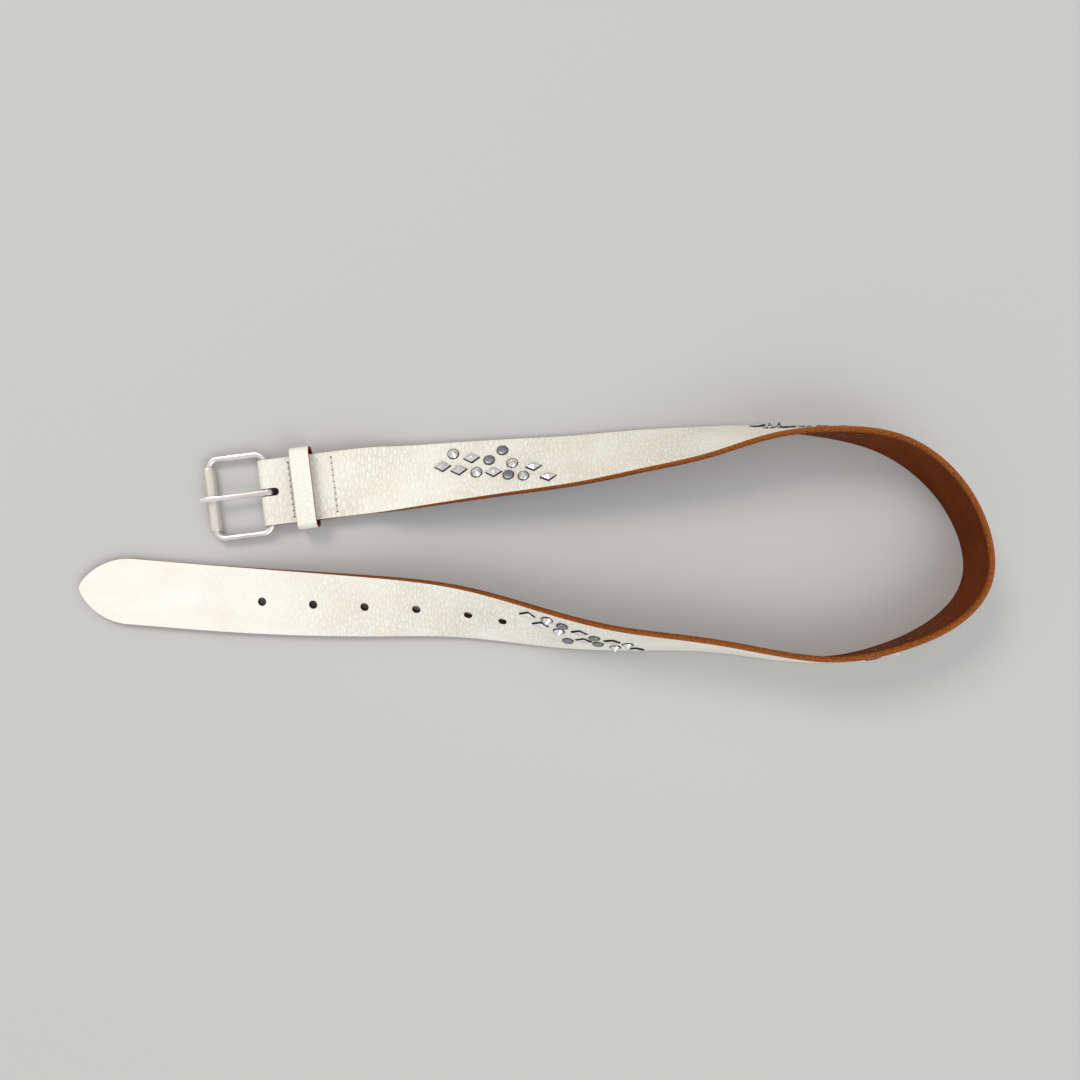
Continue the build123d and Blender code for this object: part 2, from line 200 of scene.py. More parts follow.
def tube(path, sections, up=(0, 0, 1)):
    """Sweeps closed 2-D sections (one for each path point, first axis sideways) along a path."""
    path = np.asarray(path, float)
    tangent = unit(np.gradient(path, axis=0))
    side = unit(np.cross(tangent, np.broadcast_to(np.asarray(up, float), path.shape)))
    lift = np.cross(side, tangent)
    return ring_stack([
        point + np.outer(section[:, 0], s) + np.outer(section[:, 1], n)
        for point, section, s, n in zip(path, sections, side, lift)
    ])


def circle(radius, count):
    a = np.arange(count) * 2 * math.pi / count
    return np.stack([radius * np.cos(a), radius * np.sin(a)], 1)


def rounded_box(half_wide, half_high, radius, per_corner=5):
    """Outline of a rectangle with round corners, anticlockwise."""
    radius = min(radius, half_wide * 0.98, half_high * 0.98)
    points = []
    for sx, sy, start in ((1, 1, 0), (-1, 1, 90), (-1, -1, 180), (1, -1, 270)):
        for k in range(per_corner):
            a = math.radians(start + 90 * k / (per_corner - 1))
            points.append((
                sx * (half_wide - radius) + radius * math.cos(a),
                sy * (half_high - radius) + radius * math.sin(a),
            ))
    return np.array(points)


def fillet_path(corners, radius, step=0.6):
    """Points along straight runs joined by round corners."""
    corners = [np.asarray(c, float) for c in corners]
    out = [corners[0]]
    for a, b, c in zip(corners, corners[1:], corners[2:]):
        to_a, to_c = unit(a - b), unit(c - b)
        turn = math.acos(float(np.clip(-(to_a @ to_c), -1, 1)))
        if turn < 1e-3:
            out.append(b)
            continue
        reach = radius * math.tan(turn / 2)
        centre = b + unit(to_a + to_c) * radius / math.cos(turn / 2)
        start, end = b + to_a * reach - centre, b + to_c * reach - centre
        for k in range(13):
            f = k / 12
            w = (math.sin((1 - f) * turn), math.sin(f * turn))
            out.append(centre + (w[0] * start + w[1] * end) / math.sin(turn))
    out.append(corners[-1])
    dense = [out[0]]
    for a, b in zip(out, out[1:]):
        count = max(1, int(np.linalg.norm(b - a) / step))
        dense += [a + (b - a) * (k + 1) / count for k in range(count)]
    return np.array(dense)


# --- where things are on the strap ----------------------------------------------------------------
def buckle_place(points):
    """Moves points from the buckle end's axes (x along the strap, y across, z up) to the row frame."""
    points = np.asarray(points, float)
    c, s = math.cos(BUCKLE_HEADING), math.sin(BUCKLE_HEADING)
    x, y, z = points[..., 0], points[..., 1], points[..., 2]
    return np.stack([FOLD_EDGE[0] + c * x - s * y, FOLD_EDGE[1] + s * x + c * y, z], -1)


def turn_only(vectors):
    return buckle_place(vectors) - buckle_place(np.zeros(3))


def route_controls():
    """x, y, roll and lift of the control points of the strap's middle line."""
    out = np.array([math.cos(BUCKLE_HEADING), math.sin(BUCKLE_HEADING)])
    back = np.array([math.cos(TIP_HEADING), math.sin(TIP_HEADING)])
    start = [(*(FOLD_EDGE[:2] + out * d), 0.0, FRONT_LOW) for d in (FLAT_END, LEAD_LENGTH)]
    loop = [(x, y, roll, 0.0) for x, y, roll in LOOP]
    loop[0] = (*loop[0][:3], FIRST_LOOP_LIFT)
    end = [(*(TIP_POINT[:2] + back * d), 0.0, 0.0) for d in (TIP_LEAD, TIP_LENGTH)]
    route = np.array(start + loop + end, float)
    return np.vstack([2 * route[0] - route[1], route, 2 * route[-1] - route[-2]])


CONTROLS = route_controls()
SPANS = len(CONTROLS) - 3


def spline(u):
    """Middle of the strap and its roll in radians at route parameters u."""
    u = np.clip(np.asarray(u, float), 0, SPANS)
    span = np.minimum(u.astype(int), SPANS - 1)
    f = (u - span)[:, None]
    weights = ((1 - f) ** 3, 3 * f**3 - 6 * f**2 + 4, -3 * f**3 + 3 * f**2 + 3 * f + 1, f**3)
    mixed = sum(w * CONTROLS[span + k] for k, w in enumerate(weights)) / 6
    roll = np.radians(mixed[:, 2])
    z = mixed[:, 3] + STRAP_WIDTH / 2 * abs(np.sin(roll)) + STRAP_THICK / 2 * abs(np.cos(roll))
    return np.stack([mixed[:, 0], mixed[:, 1], z], 1), roll


FINE_U = np.linspace(0, SPANS, SPANS * 50 + 1)
FINE_S = FLAT_END + np.concatenate(
    [[0], np.cumsum(np.linalg.norm(np.diff(spline(FINE_U)[0], axis=0), axis=1))]
)
LOOP_END = FINE_S[-1]


def loop_frames(s):
    """Middle, across (outer to inner edge) and outward directions at distances s round the loop."""
    u = np.interp(s, FINE_S, FINE_U)
    middle, roll = spline(u)
    step = 1e-3
    travel = unit(spline(np.minimum(u + step, SPANS))[0] - spline(np.maximum(u - step, 0))[0])
    left = unit(np.stack([-travel[:, 1], travel[:, 0], np.zeros(len(u))], 1))
    upward = np.cross(travel, left)
    sine, cosine = np.sin(roll)[:, None], np.cos(roll)[:, None]
    return middle, upward * sine - left * cosine, upward * cosine + left * sine


# --- colours and materials ------------------------------------------------------------------------
def srgb(code):
    """Linear colour with alpha from an sRGB hex code."""
    parts = [int(code[k : k + 2], 16) / 255 for k in (1, 3, 5)]
    return tuple(p / 12.92 if p <= 0.04045 else ((p + 0.055) / 1.055) ** 2.4 for p in parts) + (1.0,)


def add(tree, kind, inputs=None, **settings):
    """Adds a shader node, sets its properties, and sets its inputs or links them to other nodes.

    A colour Mix takes its share as input 0 and its two colours as inputs 6 and 7.
    """
    node = tree.nodes.new("ShaderNode" + kind)
    for key, value in settings.items():
        setattr(node, key, value)
    for key, value in (inputs or {}).items():
        if isinstance(value, bpy.types.Node):
            value = next(socket for socket in value.outputs if socket.enabled)
        if isinstance(value, bpy.types.NodeSocket):
            tree.links.new(value, node.inputs[key])
        else:
            node.inputs[key].default_value = value
    return node


def blank_material(name):
    material = bpy.data.materials.new(name)
    material.use_nodes = True
    material.node_tree.nodes.clear()
    return material, material.node_tree


def stain(tree, base, pattern, start, full, most, code):
    """Lays a colour over base, from none where pattern is at start to a share of most at full."""
    share = add(tree, "MapRange", {
        "Value": pattern, "From Min": start, "From Max": full, "To Max": most,
    })
    return add(tree, "Mix", {0: share, 6: base, 7: srgb(code)}, data_type="RGBA")


def surface(material, height, depth, strength, inputs):
    """Ends a material: relief as deep as depth, in millimetres, and the shader that carries it."""
    tree = material.node_tree
    relief = add(tree, "Bump", {"Height": height, "Distance": depth * MM, "Strength": strength})
    shader = add(tree, "BsdfPrincipled", {**inputs, "Normal": relief})
    add(tree, "OutputMaterial", {"Surface": shader})
    return material


def crease_net(tree, place, apart, long, shift, strength):
    """Creases that divide a hide into plump cells: strength on a crease, 0 off it.

    apart and long are the cells' size along the strap and across it in millimetres. A slow warp
    keeps the creases from running straight.
    """
    warp = add(tree, "TexNoise", {"Vector": place, "Scale": 0.8 / apart, "Detail": 2.0})
    bent = add(tree, "VectorMath", {0: warp.outputs["Color"], 1: (0.5, 0.5, 0.5)}, operation="SUBTRACT")
    reach = (1.6 * apart, 1.6 * apart, 0)
    bent = add(tree, "VectorMath", {0: bent.outputs[0], 1: reach, 2: place}, operation="MULTIPLY_ADD")
    laid = add(tree, "Mapping", {
        "Vector": bent.outputs[0], "Scale": (1 / apart, 1 / long, 1), "Location": shift,
    })
    cells = add(tree, "TexVoronoi", {
        "Vector": laid, "Scale": 1.0,
    }, feature="DISTANCE_TO_EDGE", voronoi_dimensions="2D")
    width = 0.24
    span = {
        "Value": cells.outputs["Distance"],
        "From Min": 0.0, "From Max": width, "To Min": strength, "To Max": 0.0,
    }
    return add(tree, "MapRange", span, interpolation_type="SMOOTHSTEP")


def painted_leather(name, crinkle, stitched):
    """Grain leather under a thick off-white paint.

    The hide was pulled and painted, so creases about 2 mm apart run across the strap, with finer
    ones between them, and all of them fade towards the tip. Painted shade and a little soiling
    darken them, the paint drifts between cool white, cream and faint pink, and it has worn thin
    along both cut edges. Half gloss breaks the highlights along each crease.
    """
    material, tree = blank_material(name)
    place = add(tree, "UVMap", uv_map="LeatherMap")
    split = add(tree, "SeparateXYZ", {"Vector": place})
    along, inward = split.outputs["X"], split.outputs["Y"]

    patch = add(tree, "TexNoise", {"Vector": place, "Scale": 1 / 45, "Detail": 2.0})
    patch = add(tree, "MapRange", {
        "Value": patch, "From Min": 0.4, "From Max": 0.62, "To Min": 0.5, "To Max": 1.0,
    })
    calm = add(tree, "MapRange", {
        "Value": along, "From Min": 790.0, "From Max": 930.0, "To Min": crinkle, "To Max": 0.22 * crinkle,
    })
    weight = add(tree, "Math", {0: patch, 1: calm}, operation="MULTIPLY")
    main = crease_net(tree, place, 2.0, 5.6, (0, 0, 0), 1.0)
    fine = crease_net(tree, place, 1.2, 2.6, (31, 7, 0), 0.4)
    lines = add(tree, "Math", {0: main, 1: fine}, operation="MAXIMUM")
    lines = add(tree, "Math", {0: lines, 1: weight}, operation="MULTIPLY")

    # each cell swells a little differently, and pores 0.6 mm apart dimple them all
    laid = add(tree, "Mapping", {"Vector": place, "Scale": (1 / 3.5, 1 / 8.0, 1)})
    plump = add(tree, "TexNoise", {"Vector": laid, "Scale": 1.0, "Detail": 2.0})
    plump = add(tree, "Math", {0: plump, 1: weight}, operation="MULTIPLY")
    pores = add(tree, "TexVoronoi", {"Vector": place, "Scale": 1 / 0.6}, feature="SMOOTH_F1")
    height = add(tree, "Math", {0: plump, 1: 1.5, 2: 1.0}, operation="MULTIPLY_ADD")
    height = add(tree, "Math", {0: lines, 1: -1.0, 2: height}, operation="MULTIPLY_ADD")
    height = add(tree, "Math", {
        0: pores.outputs["Distance"], 1: 0.08, 2: height,
    }, operation="MULTIPLY_ADD")

    laid = add(tree, "Mapping", {"Vector": place, "Scale": (1 / 34, 1 / 16, 1)})
    drift = add(tree, "TexNoise", {"Vector": laid, "Scale": 1.0, "Detail": 3.0})
    colour = stain(tree, srgb("#f6f6ec"), drift, 0.35, 0.65, 1.0, "#f4f0e0")
    laid = add(tree, "Mapping", {"Vector": place, "Scale": (1 / 50, 1 / 22, 1), "Location": (90, 3, 0)})
    flush = add(tree, "TexNoise", {"Vector": laid, "Scale": 1.0, "Detail": 2.0})
    colour = stain(tree, colour, flush, 0.54, 0.7, 0.6, "#f3e6da")
    # creases are darkened with painted shade and a little soiling
    crease_dirt_and_shade = add(tree, "Math", {0: lines, 1: 0.7}, operation="MULTIPLY")
    colour = add(tree, "Mix", {0: crease_dirt_and_shade, 6: colour, 7: srgb("#dad0b4")}, data_type="RGBA")
    speck = add(tree, "TexNoise", {"Vector": place, "Scale": 1 / 0.5, "Detail": 1.0})
    colour = stain(tree, colour, speck, 0.74, 0.82, 0.35, "#bfb291")

    off_middle = add(tree, "Math", {0: inward, 1: STRAP_WIDTH / 2}, operation="SUBTRACT")
    off_middle = add(tree, "Math", {0: off_middle}, operation="ABSOLUTE")
    ragged = add(tree, "TexNoise", {"Vector": place, "Scale": 1 / 2.2, "Detail": 4.0})
    rub = add(tree, "Math", {0: ragged, 1: 1.3, 2: off_middle}, operation="MULTIPLY_ADD")
    colour = stain(tree, colour, rub, 19.9, 20.25, 0.8, "#c99a70")

    if stitched:
        # needle holes 0.8 mm long, painted dark as the shade inside them, drawn twice that size so that
        # they show between the stitches
        first = (STRAP_WIDTH - STITCHES * STITCH_PITCH) / 2
        off_hole = add(tree, "Math", {0: inward, 1: first}, operation="SUBTRACT")
        off_hole = add(tree, "Math", {0: off_hole, 1: STITCH_PITCH / 2}, operation="PINGPONG")
        between, apart = sum(ROW_X) / 2, (ROW_X[1] - ROW_X[0]) / 2
        off_row = add(tree, "Math", {0: along, 1: between}, operation="SUBTRACT")
        off_row = add(tree, "Math", {0: off_row}, operation="ABSOLUTE")
        off_row = add(tree, "Math", {0: off_row, 1: apart}, operation="SUBTRACT")
        off_row = add(tree, "Math", {0: off_row}, operation="ABSOLUTE")
        away = add(tree, "CombineXYZ", {"X": off_hole, "Y": off_row})
        away = add(tree, "VectorMath", {0: away, 1: (1 / 0.85, 1 / 0.55, 0)}, operation="MULTIPLY")
        away = add(tree, "VectorMath", {0: away.outputs[0]}, operation="LENGTH").outputs["Value"]
        needle_hole_shade = add(tree, "MapRange", {
            "Value": away, "From Min": 0.7, "From Max": 1.05, "To Min": 1.0, "To Max": 0.0,
        })
        inside = add(tree, "Math", {0: off_middle, 1: 16.6}, operation="LESS_THAN")
        needle_hole_shade = add(tree, "Math", {0: needle_hole_shade, 1: inside}, operation="MULTIPLY")
        colour = add(tree, "Mix", {0: needle_hole_shade, 6: colour, 7: srgb("#362c22")}, data_type="RGBA")
        height = add(tree, "Math", {0: needle_hole_shade, 1: -2.0, 2: height}, operation="MULTIPLY_ADD")

    gloss = add(tree, "TexNoise", {"Vector": place, "Scale": 1 / 1.5, "Detail": 3.0, "Roughness": 0.6})
    gloss = add(tree, "MapRange", {
        "Value": gloss, "From Min": 0.3, "From Max": 0.7, "To Min": 0.4, "To Max": 0.55,
    })
    return surface(material, height, 0.26, 0.9, {
        "Base Color": colour, "Roughness": gloss,
        "Specular IOR Level": 0.35, "Coat Weight": 0.06, "Coat Roughness": 0.3,
    })


def cut_leather(name):
    """The raw cut edge of a vegetable-tanned hide.

    Packed fibres show as short pale flecks and dark pits well under a millimetre across, the pits
    darkened partly by the fibres' own tone and partly with painted shade, over slow bands where the
    knife burnished it.
    browner towards the back, so the strap reads as one solid hide.
    """
    material, tree = blank_material(name)
    place = add(tree, "UVMap", uv_map="LeatherMap")
    inward = add(tree, "SeparateXYZ", {"Vector": place}).outputs["Y"]
    past_inner = add(tree, "Math", {0: inward, 1: STRAP_WIDTH}, operation="SUBTRACT")
    past_outer = add(tree, "Math", {0: inward, 1: -1.0}, operation="MULTIPLY")
    depth = add(tree, "Math", {0: past_inner, 1: past_outer}, operation="MAXIMUM")

    laid = add(tree, "Mapping", {"Vector": place, "Scale": (1 / 1.6, 1 / 0.6, 1)})
    fibre = add(tree, "TexNoise", {"Vector": laid, "Scale": 1.0, "Detail": 5.0, "Roughness": 0.68})
    laid = add(tree, "Mapping", {
        "Vector": place, "Scale": (1 / 1.1, 1 / 0.6, 1), "Location": (3, 9, 0),
    })
    pits = add(tree, "TexNoise", {"Vector": laid, "Scale": 1.0, "Detail": 3.0, "Roughness": 0.6})
    laid = add(tree, "Mapping", {
        "Vector": place, "Scale": (1 / 18, 1 / 2.5, 1), "Location": (40, 1, 0),
    })
    bands = add(tree, "TexNoise", {"Vector": laid, "Scale": 1.0, "Detail": 4.0, "Roughness": 0.6})

    toned = add(tree, "Math", {0: bands, 1: 2.6, 2: depth}, operation="MULTIPLY_ADD")
    colour = stain(tree, srgb("#a25b28"), toned, 1.5, 5.0, 1.0, "#713816")
    colour = stain(tree, colour, fibre, 0.52, 0.70, 0.85, "#c48445")
    # the sunken pits get their own darker tone plus painted shade
    colour = stain(tree, colour, pits, 0.52, 0.66, 0.9, "#4f240c")

    height = add(tree, "Math", {0: pits, 1: -1.2, 2: fibre}, operation="MULTIPLY_ADD")
    rough = add(tree, "MapRange", {
        "Value": fibre, "From Min": 0.3, "From Max": 0.7, "To Min": 0.6, "To Max": 0.88,
    })
    return surface(material, height, 0.35, 0.9, {
        "Base Color": colour, "Roughness": rough, "Specular IOR Level": 0.06,
    })


def flesh_leather(name):
    """The hide's flesh side, dyed through to a deep orange brown.

    Short brushed nap, fibres about 0.4 mm thick, lies along the strap over blotches 12 mm across
    where the dye took unevenly, with a few paler scuffs. It is matt, so the inside of the loop stays
    deep and warm.
    """
    material, tree = blank_material(name)
    place = add(tree, "UVMap", uv_map="LeatherMap")
    laid = add(tree, "Mapping", {"Vector": place, "Scale": (1 / 20, 1 / 12, 1)})
    blotch = add(tree, "TexNoise", {"Vector": laid, "Scale": 1.0, "Detail": 4.0, "Roughness": 0.6})
    laid = add(tree, "Mapping", {"Vector": place, "Scale": (1 / 1.3, 1 / 0.42, 1)})
    nap = add(tree, "TexNoise", {
        "Vector": laid, "Scale": 1.0, "Detail": 6.0, "Roughness": 0.7, "Distortion": 0.5,
    })
    laid = add(tree, "Mapping", {
        "Vector": place, "Scale": (1 / 3.0, 1 / 1.1, 1), "Location": (60, 4, 0),
    })
    scuff = add(tree, "TexNoise", {"Vector": laid, "Scale": 1.0, "Detail": 5.0, "Roughness": 0.7})

    colour = stain(tree, srgb("#6c3210"), blotch, 0.32, 0.68, 1.0, "#7f3d14")
    shadow = add(tree, "MapRange", {
        "Value": nap, "From Min": 0.36, "From Max": 0.62, "To Min": 0.6, "To Max": 0.0,
    })
    colour = add(tree, "Mix", {0: shadow, 6: colour, 7: srgb("#451c07")}, data_type="RGBA")
    colour = stain(tree, colour, scuff, 0.6, 0.78, 0.45, "#9a5526")
    return surface(material, nap, 0.3, 0.85, {
        "Base Color": colour, "Roughness": 0.9, "Specular IOR Level": 0.1,
    })


def punched_leather(name):
    """The walls of punched holes: tan hide painted dark brown to nearly black as painted shade for the
    holes' depth.
    """
    material, tree = blank_material(name)
    place = add(tree, "UVMap", uv_map="LeatherMap")
    grime = add(tree, "TexNoise", {"Vector": place, "Scale": 1 / 1.2, "Detail": 4.0, "Roughness": 0.6})
    # both colours are near black: painted shade for the depth of the holes, varied by grime
    colour = stain(tree, srgb("#2e170b"), grime, 0.35, 0.65, 1.0, "#4b2712")
    return surface(material, grime, 0.15, 0.6, {"Base Color": colour, "Roughness": 0.8})


def plated_metal(name, light, dark, rough, tarnish, cloud, grain, relief):
    """Nickel or gunmetal plate over pressed or drawn metal.

    Tarnish in clouds darkens the plate and dulls it, and a fine tumbled grain with pinhead pits
    breaks up the highlights, so no face mirrors cleanly. rough is the range of roughness, cloud
    and grain are sizes in millimetres, and relief is the grain's depth.
    """
    material, tree = blank_material(name)
    here = add(tree, "TexCoord").outputs["Object"]
    place = add(tree, "Mapping", {"Vector": here, "Scale": (1 / MM, 1 / MM, 1 / MM)})
    film = add(tree, "TexNoise", {
        "Vector": place, "Scale": 1 / cloud, "Detail": 4.0, "Roughness": 0.6, "Distortion": 0.3,
    })
    tumbled = add(tree, "TexNoise", {
        "Vector": place, "Scale": 1 / grain, "Detail": 4.0, "Roughness": 0.6,
    })
    pits = add(tree, "TexNoise", {"Vector": place, "Scale": 1 / 0.35, "Detail": 2.0})
    colour = stain(tree, srgb(light), film, 0.42, 0.68, tarnish, dark)
    spots = add(tree, "MapRange", {
        "Value": pits, "From Min": 0.66, "From Max": 0.78, "To Max": tarnish,
    })
    colour = add(tree, "Mix", {0: spots, 6: colour, 7: srgb(dark)}, data_type="RGBA")
    dull = add(tree, "Math", {0: film, 1: 0.6, 2: 0.0}, operation="MULTIPLY_ADD")
    dull = add(tree, "Math", {0: tumbled, 1: 0.4, 2: dull}, operation="MULTIPLY_ADD")
    dull = add(tree, "MapRange", {
        "Value": dull, "From Min": 0.38, "From Max": 0.62, "To Min": rough[0], "To Max": rough[1],
    })
    height = add(tree, "Math", {0: spots, 1: -0.8, 2: tumbled}, operation="MULTIPLY_ADD")
    return surface(material, height, relief, 0.5, {
        "Base Color": colour, "Roughness": dull, "Metallic": 1.0,
    })


def sewing_thread(name):
    """Waxed bonded thread, off-white and greyed by handling; its two plies are modelled."""
    material, tree = blank_material(name)
    here = add(tree, "TexCoord").outputs["Object"]
    place = add(tree, "Mapping", {"Vector": here, "Scale": (1 / MM, 1 / MM, 1 / MM)})
    fibre = add(tree, "TexNoise", {"Vector": place, "Scale": 1 / 0.18, "Detail": 4.0, "Roughness": 0.7})
    grime = add(tree, "TexNoise", {"Vector": place, "Scale": 1 / 3.5, "Detail": 3.0, "Roughness": 0.6})
    colour = stain(tree, srgb("#ece7d9"), grime, 0.4, 0.65, 1.0, "#c4bba6")
    return surface(material, fibre, 0.06, 0.6, {
        "Base Color": colour, "Roughness": 0.68, "Sheen Weight": 0.2,
    })


LEATHER_FACE = painted_leather("painted_grain_leather", 1.0, True)
KEEPER_FACE = painted_leather("painted_smooth_leather", 0.5, False)
LEATHER_EDGE = cut_leather("raw_cut_leather_edge")
LEATHER_BACK = flesh_leather("brushed_flesh_side_leather")
LEATHER_HOLE = punched_leather("punched_hole_wall")
THREAD = sewing_thread("waxed_sewing_thread")
# drawn wire under antique nickel: pale warm grey, soft broad highlights, browner where it tarnished
BUCKLE_METAL = plated_metal(
    "antique_nickel_wire", "#f1ebe5", "#a59b91", (0.32, 0.44), 0.45, 22.0, 0.5, 0.05,
)
# rolled sheet under the same plate: creamier and duller than the wire, from rubbing on leather
ROLLER_METAL = plated_metal(
    "antique_nickel_rolled_sheet", "#efe9dd", "#aca18f", (0.36, 0.5), 0.4, 18.0, 0.5, 0.05,
)
# pressed studs under bright nickel: near-mirror facets that pick up sky and ground
STUD_METAL = plated_metal(
    "bright_nickel_plate", "#f6f4f0", "#b5b0a7", (0.06, 0.13), 0.25, 9.0, 0.4, 0.015,
)
# the studs' rims, painted dark with painted shade and a painted reflection of dark ground: a thin dark
# outline round each bright head
SHADE_PAINTED_RIM_METAL = plated_metal("nickel_rim_painted_shade", "#34322f", "#1f1e1b", (0.5, 0.62), 0.7, 4.0, 0.4, 0.03)
# gunmetal plate, tumbled: mid grey flat buttons with a mottled satin face
DISC_METAL = plated_metal("gunmetal_plate", "#a09fa2", "#7c7b7e", (0.32, 0.46), 0.7, 1.6, 0.5, 0.06)
# the buttons' rims, painted a darker grey as painted shade: a dark outline round each button
SHADE_PAINTED_DISC_RIM = plated_metal("gunmetal_rim_painted_shade", "#58565b", "#343336", (0.3, 0.42), 0.7, 2.0, 0.5, 0.04)
# bare steel prongs, painted dark grey brown as painted shade of the hollows they sit in, with darker
# clouds of handling rust; quiet against the flesh side
SHADE_PAINTED_PRONG_METAL = plated_metal("steel_prong_painted_shade", "#6b645a", "#3a332b", (0.2, 0.36), 0.8, 1.5, 0.4, 0.04)
# zinc-coated staple wire: cool light grey
STAPLE_METAL = plated_metal(
    "galvanised_staple_wire", "#c9c9c6", "#8a8a86", (0.24, 0.38), 0.5, 2.0, 0.3, 0.03,
)


# --- leather strips -------------------------------------------------------------------------------
FACE, EDGE, BACK, HOLE = range(4)


# the five rings of a cut edge, from the face to the back: which way it lies from mid thickness, how
# far in from the surface and how far out, as shares of the corner; and its depth on the leather map
EDGE_RINGS = [(1, 0.3, 0.8), (1, 0.7, 0.97), (0, 0, 1.1), (-1, 0.7, 0.97), (-1, 0.3, 0.8)]
EDGE_LEVELS = np.array([0.4, 0.8, 2.0, 3.2, 3.7])
# the walls of an opening: the neighbour cell that is still there, and the wall's two corners
WALLS = [
    ((-1, 0), (0, 0), (0, 1)), ((1, 0), (1, 1), (1, 0)),
    ((0, -1), (1, 0), (0, 0)), ((0, 1), (0, 1), (1, 1)),
]


def punch(s, run, step_t, openings):
    """Draws the grid of the face in to each opening's outline, and marks the cells it removes.

    Gives s and run at every point, the removed cells, and how near each point is to a rim.
    """
    s_grid = np.repeat(s[:, None], run.shape[1], 1)
    removed = np.zeros((run.shape[0] - 1, run.shape[1] - 1), bool)
    mouth = np.zeros_like(s_grid)
    reach = 2.2
    for centre, straight, radius, along_cells, across_cells in openings:
        ds = s_grid - centre
        past = ds - np.clip(ds, -straight, straight)
        step_s = np.diff(s)[np.argmin(abs(s - centre - straight - 1.0))]
        q = np.maximum(abs(past) / (along_cells * step_s), abs(run) / (across_cells * step_t))
        cells = (q[:-1, :-1] + q[1:, :-1] + q[:-1, 1:] + q[1:, 1:]) / 4
        removed |= cells < 1 - 0.02
        length = np.maximum(np.hypot(past, run), 1e-9)
        inside = q < reach
        pull = 1 - smooth(1.0, reach, q)
        wanted = radius + (np.maximum(q, 1) - 1) * min(along_cells * step_s, across_cells * step_t)
        factor = np.where(inside & (q > 0.99), 1 + (wanted / length - 1) * pull, 1.0)
        s_grid = np.where(inside, s_grid - past + past * factor, s_grid)
        run = np.where(inside, run * factor, run)
        mouth = np.maximum(mouth, np.where(inside, 1 - smooth(1.0, 1.5, q), 0))
    return s_grid, run, removed, mouth


def strip_faces(removed, columns, width):
    """Faces and their zones: round each ring of the strip, both ends, and each opening's walls."""
    count = len(removed) + 1
    faces, zones = [], []

    def index(i, j):
        return i * width + j % width

    def under(j):
        """The column on the back that lies under a column of the face."""
        return width - len(EDGE_RINGS) - 1 - j

    for i in range(count - 1):
        for j in range(width):
            zone = EDGE
            if j < columns or j == width - 1:
                zone = FACE
            elif under(columns - 1) <= j < under(0):
                zone = BACK
            gone = (j < columns - 1 and removed[i, j]) or (zone == BACK and removed[i, under(j + 1)])
            if not gone:
                faces.append((index(i, j), index(i, j + 1), index(i + 1, j + 1), index(i + 1, j)))
                zones.append(zone)
    faces.append(tuple(index(0, j) for j in range(width))[::-1])
    faces.append(tuple(index(count - 1, j) for j in range(width)))
    zones += [EDGE, EDGE]
    for i, j in zip(*np.nonzero(removed)):
        for (past_i, past_j), (ai, aj), (bi, bj) in WALLS:
            if not removed[i + past_i, j + past_j]:
                top = (index(i + ai, j + aj), index(i + bi, j + bj))
                faces.append((*top, index(i + bi, under(j + bj)), index(i + ai, under(j + aj))))
                zones.append(HOLE)
    return faces, zones


